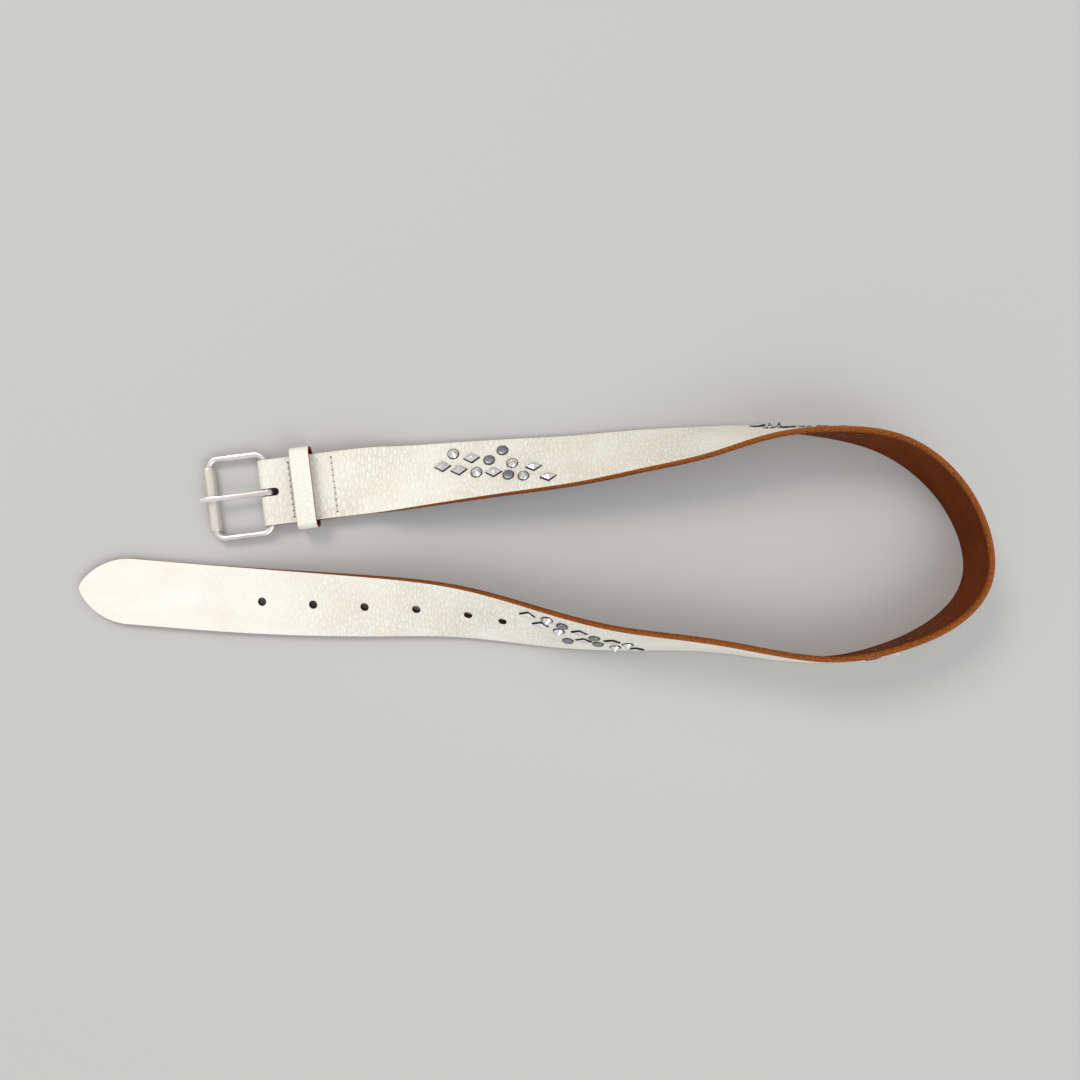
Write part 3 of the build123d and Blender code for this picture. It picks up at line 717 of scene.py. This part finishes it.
def leather_strip(name, stations, columns, corner, body, slot, node, materials, relief, openings=()):
    """A strip of hide with soft corners, a painted face, cut edges, a flesh side and openings.

    stations holds arrays: outer and inner surface points, across, half width and s.
    corner is the size of its rounded corners. Each opening is (middle s, half run of its straight
    part, radius, cells along, cells across).
    """
    face, back = stations["face"], stations["back"]
    across, half, s = stations["across"], stations["half"], stations["s"]
    count = len(s)
    corner = np.minimum(corner, corner * half)
    thick = np.linalg.norm(face - back, axis=1)
    out = unit(face - back)
    middle = (face + back) / 2
    run = (half - corner)[:, None] * np.linspace(-1, 1, columns)
    step_t = 2 * (half.max() - corner.max()) / (columns - 1)
    s_grid, run, removed, mouth = punch(s, run, step_t, openings)
    t_grid = run + STRAP_WIDTH / 2

    def at(s_values, table):
        if table.ndim == 1:
            return np.interp(s_values, s, table)
        return np.stack([np.interp(s_values, s, table[:, k]) for k in range(3)], -1)

    dress = relief(s_grid, t_grid)
    out_grid = unit(at(s_grid, out))
    half_thick = at(s_grid, thick)[..., None] / 2
    base = at(s_grid, middle) + unit(at(s_grid, across)) * run[..., None]
    face_points = base + out_grid * (half_thick + (dress[0] - 0.18 * mouth)[..., None])
    back_points = base - out_grid * (half_thick + (dress[1] - 0.10 * mouth)[..., None])
    edges = []
    for sign, seed in ((1, 11.0), (-1, 23.0)):
        wobble = 0.08 * grain_noise(s / 3.2, np.zeros(count), seed, 2)
        rings = []
        for lift, drop, reach in EDGE_RINGS:
            side = sign * (half - corner + corner * reach + wobble)
            level = lift * (thick / 2 - drop * corner)
            rings.append(middle + across * side[:, None] + out * level[:, None])
        edges.append(np.stack(rings, 1))
    points = np.concatenate([face_points, edges[0], back_points[:, ::-1], edges[1][:, ::-1]], axis=1)
    width = points.shape[1]

    s_edge = np.repeat(s[:, None], len(EDGE_LEVELS), 1)
    inner = np.tile(STRAP_WIDTH + EDGE_LEVELS, (count, 1))
    outer = np.tile(-EDGE_LEVELS[::-1], (count, 1))
    uv_s = np.concatenate([s_grid, s_edge, s_grid[:, ::-1], s_edge], axis=1)
    uv_t = np.concatenate([t_grid, inner, t_grid[:, ::-1], outer], axis=1)
    uvs = np.stack([uv_s, uv_t], -1).reshape(-1, 2)

    faces, zones = strip_faces(removed, columns, width)
    points = points.reshape(-1, 3)
    used = np.unique(np.concatenate([np.asarray(f) for f in faces]))
    fresh = np.full(len(points), -1)
    fresh[used] = np.arange(len(used))
    faces = [tuple(fresh[list(f)]) for f in faces]
    obj = make_object(name, points[used], faces, materials, zones, uvs[used], angle=50.0)
    finish_piece(obj, body, slot, node)


def soften(table, passes):
    """Rounds off the bends of a densely sampled line while its ends stay put."""
    for _ in range(passes):
        table[1:-1] = (table[:-2] + 2 * table[1:-1] + table[2:]) / 4
    return table


def run_length(line):
    """Distance along a line at each of its points."""
    return np.concatenate([[0], np.cumsum(np.linalg.norm(np.diff(line, axis=0), axis=1))])


def fold_profile():
    """Face and back lines of the folded end in the buckle's x and z, from the turned-back end."""
    hx, hz = HEEL
    low, deep = TURNED_FACE, TURNED_BACK
    face = [(45.5, low), (42.6, low), (40.4, 0.05), (20.2, 0.05), (18.0, low), (14.0, 2.3), (hx, 0.03)]
    back = [(45.5, deep), (42.2, deep), (40.5, 2.0), (20.6, 2.0), (19.0, deep), (13.9, deep), (hx, 1.95)]
    for degrees in range(-105, -270, -15):
        a = math.radians(degrees)
        face.append((hx + 4.27 * math.cos(a), hz + 4.27 * math.sin(a)))
        back.append((hx + 2.35 * math.cos(a), hz + 2.35 * math.sin(a)))
    face += [(hx, 8.57), (14.0, FRONT_TOP), (FLAT_END, FRONT_TOP)]
    back += [(hx, 6.65), (14.0, FRONT_LOW), (FLAT_END, FRONT_LOW)]
    face, back = np.array(face), np.array(back)
    length = run_length((face + back) / 2)
    dense = np.linspace(0, length[-1], 900)
    lines = [np.stack([np.interp(dense, length, line[:, k]) for k in (0, 1)], 1) for line in (face, back)]
    face, back = (soften(line, 60) for line in lines)
    length = run_length((face + back) / 2)
    return length - length[-1] + FLAT_END, face, back


def strap_stations():
    """Every station of the strap, from the turned-back end round the loop to the tip."""
    s_fold, face_fold, back_fold = fold_profile()
    lower = len(s_fold) // 2
    under_end = np.interp(-SLOT_END, -face_fold[:lower, 0], s_fold[:lower])
    front = SLOT_END - SLOT_HALF
    rear = under_end + SLOT_HALF
    fine = 0.625
    wanted = np.concatenate([
        np.linspace(s_fold[0], rear - 6 * fine, 46, endpoint=False),
        rear + fine * np.arange(-6, 0),
        np.linspace(rear, front, 22, endpoint=False),
        front + fine * np.arange(0, 7),
        np.linspace(front + 7 * fine, FLAT_END, 34, endpoint=False),
    ])
    lines = []
    for line in (face_fold, back_fold):
        x, z = (np.interp(wanted, s_fold, line[:, c]) for c in (0, 1))
        lines.append(buckle_place(np.stack([x, np.zeros(len(x)), z], 1)))
    s_list, face, back = [wanted], [lines[0]], [lines[1]]
    across = [np.repeat(turn_only(np.array([[0.0, -1.0, 0.0]])), len(wanted), 0)]
    half = [np.full(len(wanted), STRAP_WIDTH / 2)]

    first_hole, last_hole = HOLES[-1] - 10, HOLES[0] + 10
    loop_s = np.concatenate([
        np.linspace(FLAT_END, first_hole, int(first_hole - FLAT_END), endpoint=False),
        np.arange(first_hole, last_hole, fine),
        np.linspace(last_hole, LOOP_END, int(LOOP_END - last_hole), endpoint=False),
    ])
    middle, loop_across, out = loop_frames(loop_s)
    s_list.append(loop_s)
    face.append(middle + out * STRAP_THICK / 2)
    back.append(middle - out * STRAP_THICK / 2)
    across.append(loop_across)
    half.append(np.full(len(loop_s), STRAP_WIDTH / 2))

    nose, side = TIP_NOSE, TIP_SIDE
    side_y = STRAP_WIDTH / 2 - side
    join_angle = math.asin(-side_y / (side - nose))
    arc_x = (side - nose) * math.cos(join_angle) + nose
    join_x = nose - nose * math.cos(join_angle)
    body_x = [np.linspace(a, b, 24, endpoint=False) for a, b in ((TIP_LENGTH, 16), (16, join_x))]
    nose_x = nose - nose * np.cos(np.linspace(join_angle, math.radians(5), 12))
    tip_x = np.concatenate([*body_x, nose_x])
    tip_half = np.where(
        tip_x > join_x,
        side_y + np.sqrt(side**2 - np.maximum(arc_x - tip_x, 0) ** 2),
        np.sqrt(np.maximum(nose**2 - (nose - tip_x) ** 2, 0)),
    )
    tip_half = np.minimum(tip_half, STRAP_WIDTH / 2)
    heading = np.array([math.cos(TIP_HEADING), math.sin(TIP_HEADING), 0])
    line = TIP_POINT + heading * tip_x[:, None]
    up = np.array([0.0, 0.0, 1.0])
    s_list.append(LOOP_END + TIP_LENGTH - tip_x)
    face.append(line + up * STRAP_THICK)
    back.append(line + up * 0.02)
    across.append(np.repeat([np.array([-heading[1], heading[0], 0.0])], len(tip_x), 0))
    half.append(tip_half)
    stations = {
        "s": np.concatenate(s_list),
        "face": np.concatenate(face),
        "back": np.concatenate(back),
        "across": np.concatenate(across),
        "half": np.concatenate(half),
    }
    slot = ((front + rear) / 2, (front - rear) / 2, SLOT_HALF, 4, 2)
    return stations, slot


STUD_SPOTS = [(start + s, t) for start, layout in CLUSTERS for _, s, t in layout]


def strap_relief(s, t):
    """Height of the strap's face and back over their mean: waves, creases, grooves and dents."""
    broad = grain_noise(s / 34, t / 22, 3.0)
    pucker = abs(grain_noise(s / 3.6 + 0.5 * broad, t / 11, 5.0))
    patch = 0.55 + 0.45 * smooth(-0.2, 0.3, grain_noise(s / 45, t / 45, 6.0))
    calm = patch * (1 - 0.8 * smooth(800, 935, s))
    face = 0.10 * broad - 0.17 * (1 - smooth(0.0, 0.3, pucker)) * calm - 0.02
    for crease, deep in ((10.9, 0.2), (12.9, 0.32), (14.8, 0.4), (16.6, 0.4), (20.4, 0.3)):
        bend = 1.6 * grain_noise(t / 11, t / 50 + crease, 8.0)
        uneven = 0.6 + 0.4 * np.sin(t / 5 + 2 * crease)
        face -= deep * np.exp(-(((s - crease - bend) / 0.5) ** 2)) * uneven
    back = 0.06 * grain_noise(s / 6, t / 4, 9.0) - 0.05
    middle = smooth(0.0, 3.0, np.minimum(t, STRAP_WIDTH - t))
    face = face * (0.3 + 0.7 * middle) - 0.05 * (1 - middle)
    for row in ROW_X:
        groove = np.exp(-(((s - row) / 0.9) ** 2)) * smooth(0.6, 2.0, np.minimum(t, STRAP_WIDTH - t))
        face -= 0.16 * groove
    for spot_s, spot_t in STUD_SPOTS:
        near = abs(s - spot_s) < 9
        distance = np.hypot(s[near] - spot_s, t[near] - spot_t)
        face[near] -= 0.10 * np.exp(-((distance / 4.2) ** 4))
    return np.minimum(face, 0.02), np.where(s < FLAT_END + 4, 0, back)


stations, slot_opening = strap_stations()
openings = [slot_opening] + [(s, 0.0, HOLE_RADIUS, 4, 2) for s in HOLES]
leather_strip(
    "leather_strap", stations, 31, 0.45, "strap", "strap_leather", "strap",
    [LEATHER_FACE, LEATHER_EDGE, LEATHER_BACK, LEATHER_HOLE], strap_relief, openings,
)


# --- keeper and staple ----------------------------------------------------------------------------
KEEPER_X = (20.9, 31.9)
KEEPER_TOP, KEEPER_BOTTOM, KEEPER_LEG = 14.6, 2.3, 1.7


def keeper_stations():
    """The keeper's strip of thin hide, wrapped round from butt to butt under the strap."""
    leg = KEEPER_LEG / 2
    span = 23.5 - leg
    low, high = KEEPER_BOTTOM + leg, KEEPER_TOP - leg
    corners = [(0.14, low), (span, low), (span, high), (-span, high), (-span, low), (-0.14, low)]
    path = fillet_path([(0, y, z) for y, z in corners], 3.7, 0.8)[:, 1:]
    tangent = unit(np.gradient(path, axis=0))
    out = np.stack([tangent[:, 1], -tangent[:, 0]], 1)
    x = np.full(len(path), sum(KEEPER_X) / 2)
    face = np.stack([x, *(path + out * (leg - 0.02)).T], 1)
    back = np.stack([x, *(path - out * (leg - 0.02)).T], 1)
    across = np.repeat(turn_only(np.array([[-1.0, 0.0, 0.0]])), len(path), 0)
    return {
        "s": run_length(path), "face": buckle_place(face), "back": buckle_place(back), "across": across,
        "half": np.full(len(path), (KEEPER_X[1] - KEEPER_X[0]) / 2),
    }


def keeper_relief(s, t):
    face = 0.05 * grain_noise(s / 9, t / 7, 14.0) + 0.05 * grain_noise(s / 1.9, t / 12, 15.0) - 0.08
    return face, np.zeros_like(s) - 0.02


leather_strip(
    "leather_keeper", keeper_stations(), 13, 0.22, "keeper", "keeper_leather", "keeper",
    [KEEPER_FACE, LEATHER_EDGE, LEATHER_BACK, LEATHER_HOLE], keeper_relief,
)


def staple():
    """Round wire through both butted ends, its points turned in against the inside."""
    x, half = sum(KEEPER_X) / 2, 4.5
    low, high = KEEPER_BOTTOM + 0.1, KEEPER_BOTTOM + KEEPER_LEG
    bends = [(1.5, high), (half, high), (half, low), (-half, low), (-half, high), (-1.5, high)]
    path = fillet_path([(x, y, z) for y, z in bends], 0.45, 0.4)
    size = np.full(len(path), 0.25)
    size[0] = size[-1] = 0.07
    size[1] = size[-2] = 0.2
    points, faces = tube(path, [circle(r, 12) for r in size], up=(1, 0, 0))
    wire = make_object("wire_staple", buckle_place(points), faces, [STAPLE_METAL])
    finish_piece(wire, "keeper", "staple_wire", "keeper_staple")


staple()


# --- stitching ------------------------------------------------------------------------------------
def stitch_row(x, top, sign, name, node):
    """Two twisted plies that rise between needle holes and dive into each of them."""
    pile = Pile()
    first = -STITCHES * STITCH_PITCH / 2
    count = 15
    for k in range(STITCHES):
        f = np.linspace(0, 1, count)
        y = first + (k + f) * STITCH_PITCH
        rise = np.sin(math.pi * f) ** 0.45
        z = top + sign * (0.34 * rise - 0.42 * (1 - rise) - 0.16)
        sway = 0.07 * math.sin(2.3 * k) + 0.12 * (f - 0.5)
        for ply in (0, math.pi):
            turn = 2 * math.pi * 1.25 * f + ply + 0.4 * k
            path = np.stack([x + sway + 0.15 * np.cos(turn), y, z + 0.15 * np.sin(turn)], 1)
            size = 0.2 * (0.75 + 0.25 * rise)
            points, faces = tube(path, [circle(r, 8) for r in size], up=(1, 0, 0))
            pile.add(buckle_place(points), faces)
    finish_piece(pile.build(name, [THREAD]), "strap", "thread", node)


for row, row_x in enumerate(ROW_X, start=1):
    stitch_row(row_x, FRONT_TOP - 0.02, 1, f"needle_stitches_{row}", f"needle_thread_row_{row}")
    stitch_row(row_x, TURNED_FACE, -1, f"bobbin_stitches_{row}", f"bobbin_thread_row_{row}")


# --- buckle ---------------------------------------------------------------------------------------
def buckle_wire():
    """One thick wire bent to a round-cornered frame, its cut ends meeting inside the roller."""
    half = 23.0
    (hx, hz), (rx, rz) = HEEL, ROLLER_AXIS
    bends = [(rx, 0.3, rz), (rx, half, rz), (hx, half, hz)]
    bends += [(x, -y, z) for x, y, z in reversed(bends)]
    path = fillet_path(bends, 5.5, 1.0)
    swell = 1 + 0.012 * np.sin(np.arange(len(path)) * 0.37)
    size = WIRE_RADIUS * np.minimum(swell, 1.0)
    points, faces = tube(path, [circle(r, 28) for r in size])
    wire = make_object("buckle_wire_frame", buckle_place(points), faces, [BUCKLE_METAL])
    finish_piece(wire, "buckle_frame", "buckle_metal", "buckle_frame")


def swung(axis, angle, radius, sideways):
    """A section's points swung by an angle about an axis that runs across the strap."""
    x = axis[0] + radius * math.cos(angle)
    z = axis[1] + radius * math.sin(angle)
    return np.stack([x, sideways, z], 1)


def roller_sleeve():
    """Sheet rolled to a sleeve, its seam underneath and its rims turned smooth."""
    wall, middle, half = 0.6, 2.9, 18.5
    outline = rounded_box(half, wall, 0.42, 5)
    section = []
    for a, b in zip(outline, np.roll(outline, -1, axis=0)):
        gap = np.linalg.norm(b - a)
        count = max(1, int(gap / 2.0))
        section += [a + (b - a) * k / count for k in range(count)]
    section = np.array(section)
    half_seam, outside = 0.175, 3.5
    opening = math.asin(half_seam / outside)
    angles = -math.pi / 2 + np.linspace(opening, 2 * math.pi - opening, 73)
    rows = []
    for angle in angles:
        ripple = 0.012 * np.sin(3 * angle + 1) * (section[:, 1] > 0)
        radius = middle + section[:, 1] - 0.012 + ripple
        rows.append(swung(ROLLER_AXIS, angle, radius, section[:, 0]))
    points, faces = ring_stack(rows)
    sleeve = make_object("rolled_roller_sleeve", buckle_place(points), faces, [ROLLER_METAL])
    finish_piece(sleeve, "roller", "roller_metal", "roller")


def tongue_pin():
    """The pin: an eye rolled round the heel bar, a shank with soft corners and a thinned tip."""
    hx, rx = HEEL[0], ROLLER_AXIS[0]
    knots = np.array([
        # x, underside z, top z, half width
        (hx + 0.6, 6.9, 8.15, 1.72),
        (hx - 2.5, 6.75, 8.4, 1.73),
        (hx - 6.5, 6.5, 8.55, 1.73),
        (hx - 9.5, 6.42, 8.65, 1.52),
        (hx - 14.0, 6.6, 8.95, 1.44),
        (rx + 9.0, 6.9, 9.5, 1.43),
        (rx + 4.6, 7.08, 9.66, 1.44),
        (rx + 2.2, 7.2, 9.75, 1.66),
        (rx - 1.4, 7.3, 9.74, 1.67),
        (rx - 3.3, 7.25, 9.5, 1.22),
        (rx - 5.4, 7.12, 9.15, 1.12),
        (rx - 6.5, 7.15, 8.85, 0.85),
        (rx - 6.93, 7.5, 8.4, 0.45),
    ])
    nose = 1 - np.sin(np.linspace(0, math.pi / 2, 12))
    x = np.concatenate([np.linspace(hx + 0.6, rx - 5.4, 70, endpoint=False), rx - 6.93 + 1.53 * nose])
    low, high, wide = (np.interp(-x, -knots[:, 0], knots[:, k]) for k in (1, 2, 3))
    for line in (low, high, wide):
        soften(line, 3)
    pile = Pile()
    path = np.stack([x, np.zeros(len(x)), (low + high) / 2], 1)
    sections = [rounded_box(w, (b - a) / 2, 0.8, 6) for a, b, w in zip(low, high, wide)]
    points, faces = tube(path, sections)
    pile.add(buckle_place(points), faces)
    outline = rounded_box(1.73, 0.87, 0.5, 5)
    turns = 60
    rows = []
    for k in range(turns):
        angle = 2 * math.pi * k / turns
        radius = 3.01 + outline[:, 1]
        rows.append(swung(HEEL, angle, radius, outline[:, 0]))
    faces = grid_faces(turns, len(outline), closed_columns=True, closed_rows=True)
    pile.add(buckle_place(np.concatenate(rows)), faces)
    finish_piece(pile.build("tongue_pin", [BUCKLE_METAL]), "tongue", "buckle_metal", "tongue")


buckle_wire()
roller_sleeve()
tongue_pin()


# --- studs ----------------------------------------------------------------------------------------
DIAMOND_HALF_WIDE, DIAMOND_HALF_LONG, ROUND_RADIUS = 3.5, 5.1, 3.4
HEAD_OVERHANG = 0.45


def diamond_head():
    """A pressed four-sided pyramid on a steep skirt; each ridge is softened by the plating."""
    profile = [
        (0.93, -0.24), (1.0, -0.2), (1.0, 0.16), (0.985, 0.32), (0.90, 0.62), (0.84, 0.82),
        (0.81, 0.90), (0.60, 1.21), (0.33, 1.58), (0.13, 1.87), (0.07, 1.94), (0.03, 1.97),
    ]
    loops = []
    for share, z in profile:
        wide, long = DIAMOND_HALF_WIDE * share, DIAMOND_HALF_LONG * share
        corners = [(wide, 0), (0, long), (-wide, 0), (0, -long)]
        loop = []
        for k, corner in enumerate(corners):
            before, after = np.array(corners[k - 1]), np.array(corners[(k + 1) % 4])
            corner = np.array(corner)
            cut = min(0.2, 0.25 * share)
            a = corner + unit(before - corner) * cut
            b = corner + unit(after - corner) * cut
            loop += [a, (a + b) / 4 + corner / 2, b]
        loops.append(np.array([(*p, z) for p in loop]))
    return ring_stack(loops)


def turned_head(profile, count=56):
    """A round head spun from its profile of radius and height."""
    loops = []
    for radius, z in profile:
        flat = circle(max(radius, 0.02), count)
        loops.append(np.column_stack([flat, np.full(count, z)]))
    return ring_stack(loops)


CONE_PROFILE = [
    (3.2, -0.24), (3.38, -0.2), (3.4, 0.15), (3.34, 0.34), (3.2, 0.44), (3.02, 0.44), (2.95, 0.43),
    (2.86, 0.58), (2.2, 1.24), (1.5, 1.96), (0.85, 2.62), (0.5, 2.93), (0.28, 3.05), (0.1, 3.09),
]
DISC_PROFILE = [
    (3.2, -0.24), (3.38, -0.2), (3.4, 0.2), (3.33, 0.38), (3.18, 0.45), (3.05, 0.45), (2.96, 0.42),
    (2.9, 0.62), (2.78, 0.84), (2.55, 0.96), (2.1, 1.02), (1.5, 1.05), (0.8, 1.07), (0.3, 1.08),
]


def prong(y_leg, sign):
    """One flat leg that comes out of the back of the strap and is folded in, its point dug in."""
    back = -STRAP_THICK
    corners = [(0, y_leg, back + 0.9), (0, y_leg, back - 0.22), (0, y_leg - sign * 2.28, back - 0.12)]
    path = fillet_path(corners, 0.32, 0.28)
    run = np.linspace(0, 1, len(path))
    wide = 0.65 * (1 - 0.72 * smooth(0.62, 1.0, run))
    path[:, 2] -= 0.10 * np.sin(math.pi * np.clip((run - 0.35) / 0.65, 0, 1))
    sections = [rounded_box(w, 0.2, 0.12, 3) for w in wide]
    return tube(path, sections, up=(0, 0.3 * sign, -1))


# head points and faces, and how far from its middle its legs stand
HEADS = {
    "diamond": (*diamond_head(), DIAMOND_HALF_LONG - 1.6 - HEAD_OVERHANG),
    "cone": (*turned_head(CONE_PROFILE), ROUND_RADIUS - 0.3 - HEAD_OVERHANG),
    "disc": (*turned_head(DISC_PROFILE), ROUND_RADIUS - 0.3 - HEAD_OVERHANG),
}
# faces wholly below this height belong to a head's rim, which carries painted shade
RIM_TOP = {"diamond": 0.83, "cone": 0.455, "disc": 0.455}
PIECE_NAMES = {"diamond": "pyramid_studs", "cone": "spike_studs", "disc": "button_studs"}


def stud_group(kind, start, layout, number):
    """Every stud of one kind in one cluster, each turned and seated a little differently."""
    head, faces, leg = HEADS[kind]
    heights = [head[list(f), 2] for f in faces]
    rim_faces = [f for f, z in zip(faces, heights) if z.max() < RIM_TOP[kind] and z.min() > -0.23]
    plain = [f for f in faces if f not in rim_faces]
    pile = Pile()
    spots = [(start + s, t) for k, s, t in layout if k == kind]
    middle, across, out = loop_frames(np.array([s for s, _ in spots]))
    for k, (s, t) in enumerate(spots):
        a, n = across[k], out[k]
        turn = math.radians(2.2 * math.sin(5.1 * s + t))
        lean = 0.012 * math.sin(3.7 * s)
        n = unit(n + a * lean)
        a = unit(a - n * (a @ n))
        axis_y = np.cross(n, a)
        across_now = a * math.cos(turn) + axis_y * math.sin(turn)
        along_now = np.cross(n, across_now)
        basis = np.stack([across_now, along_now, n])
        seat = middle[k] + across[k] * (t - STRAP_WIDTH / 2) + out[k] * (STRAP_THICK / 2 - 0.02)
        pile.add(head @ basis + seat, plain, 0)
        pile.add(head @ basis + seat, rim_faces, 2)
        for sign in (-1, 1):
            points, leg_faces = prong(sign * leg, sign)
            pile.add(points @ basis + seat, leg_faces, 1)
    plate, rim, slot = STUD_METAL, SHADE_PAINTED_RIM_METAL, "bright_stud_metal"
    if kind == "disc":
        plate, rim, slot = DISC_METAL, SHADE_PAINTED_DISC_RIM, "disc_metal"
    obj = pile.build(f"{PIECE_NAMES[kind]}_{number}", [plate, SHADE_PAINTED_PRONG_METAL, rim], angle=24.0)
    finish_piece(obj, "strap", slot, f"{kind}_studs_{number}")


for number, (start, layout) in enumerate(CLUSTERS, start=1):
    for kind in HEADS:
        stud_group(kind, start, layout, number)


# --- stage and light ------------------------------------------------------------------------------
def stage_material():
    """A plain pale matt floor, so colours and shadows on the belt read true."""
    material, tree = blank_material("matt_pale_floor")
    shader = add(tree, "BsdfPrincipled", {
        "Base Color": srgb("#c4c3c0"), "Roughness": 0.9, "Specular IOR Level": 0.2,
    })
    add(tree, "OutputMaterial", {"Surface": shader})
    return material


FLOOR_HALF, FLOOR_LEVEL = 3000, -0.05
floor_corners = ((-1, -1), (1, -1), (1, 1), (-1, 1))
floor_points = [(x * FLOOR_HALF, y * FLOOR_HALF, FLOOR_LEVEL) for x, y in floor_corners]
floor = make_object("floor", floor_points, [(0, 1, 2, 3)], [stage_material()], flat=True)


def softbox(name, place, size, power, colour):
    """A square light, size in metres, aimed at the middle of the belt."""
    data = bpy.data.lights.new(name, "AREA")
    data.shape = "RECTANGLE"
    data.size = data.size_y = size
    data.energy = power
    data.color = srgb(colour)[:3]
    obj = bpy.data.objects.new(name, data)
    obj.location = place
    obj.rotation_mode = "QUATERNION"
    obj.rotation_quaternion = (-Vector(place)).to_track_quat("-Z", "Y")
    bpy.context.scene.collection.objects.link(obj)


softbox("key", (-1.4, 2.0, 2.6), 1.3, 44.0, "#fffbf5")
softbox("fill", (1.3, -1.8, 2.4), 2.0, 27.0, "#f8f9ff")

# A pale sky that reaches lower in front (-Y) than behind, over dim walls. It is strongest low down
# and eases off overhead, so leather that leans keeps its light and flat leather isn't washed out,
# while metal that leans back or stands steep mirrors the dim walls.
world = bpy.data.worlds.new("studio")
bpy.context.scene.world = world
world.use_nodes = True
sky = world.node_tree
sky.nodes.clear()
direction = add(sky, "TexCoord").outputs["Generated"]
how_high = add(sky, "SeparateXYZ", {"Vector": direction}).outputs["Z"]
leaning = add(sky, "VectorMath", {0: direction, 1: (0.0, -0.2, 0.98)}, operation="DOT_PRODUCT")
lift = add(sky, "MapRange", {"Value": leaning.outputs["Value"], "From Min": 0.03, "From Max": 0.3})
tone = add(sky, "Mix", {0: lift, 6: srgb("#4a4b4e"), 7: srgb("#f4f6fa")}, data_type="RGBA")
power = add(sky, "MapRange", {
    "Value": how_high, "From Min": 0.5, "From Max": 0.95, "To Min": 0.88, "To Max": 0.7,
})
background = add(sky, "Background", {"Color": tone, "Strength": power})
add(sky, "OutputWorld", {"Surface": background})
bpy.context.scene.view_settings.view_transform = "Standard"
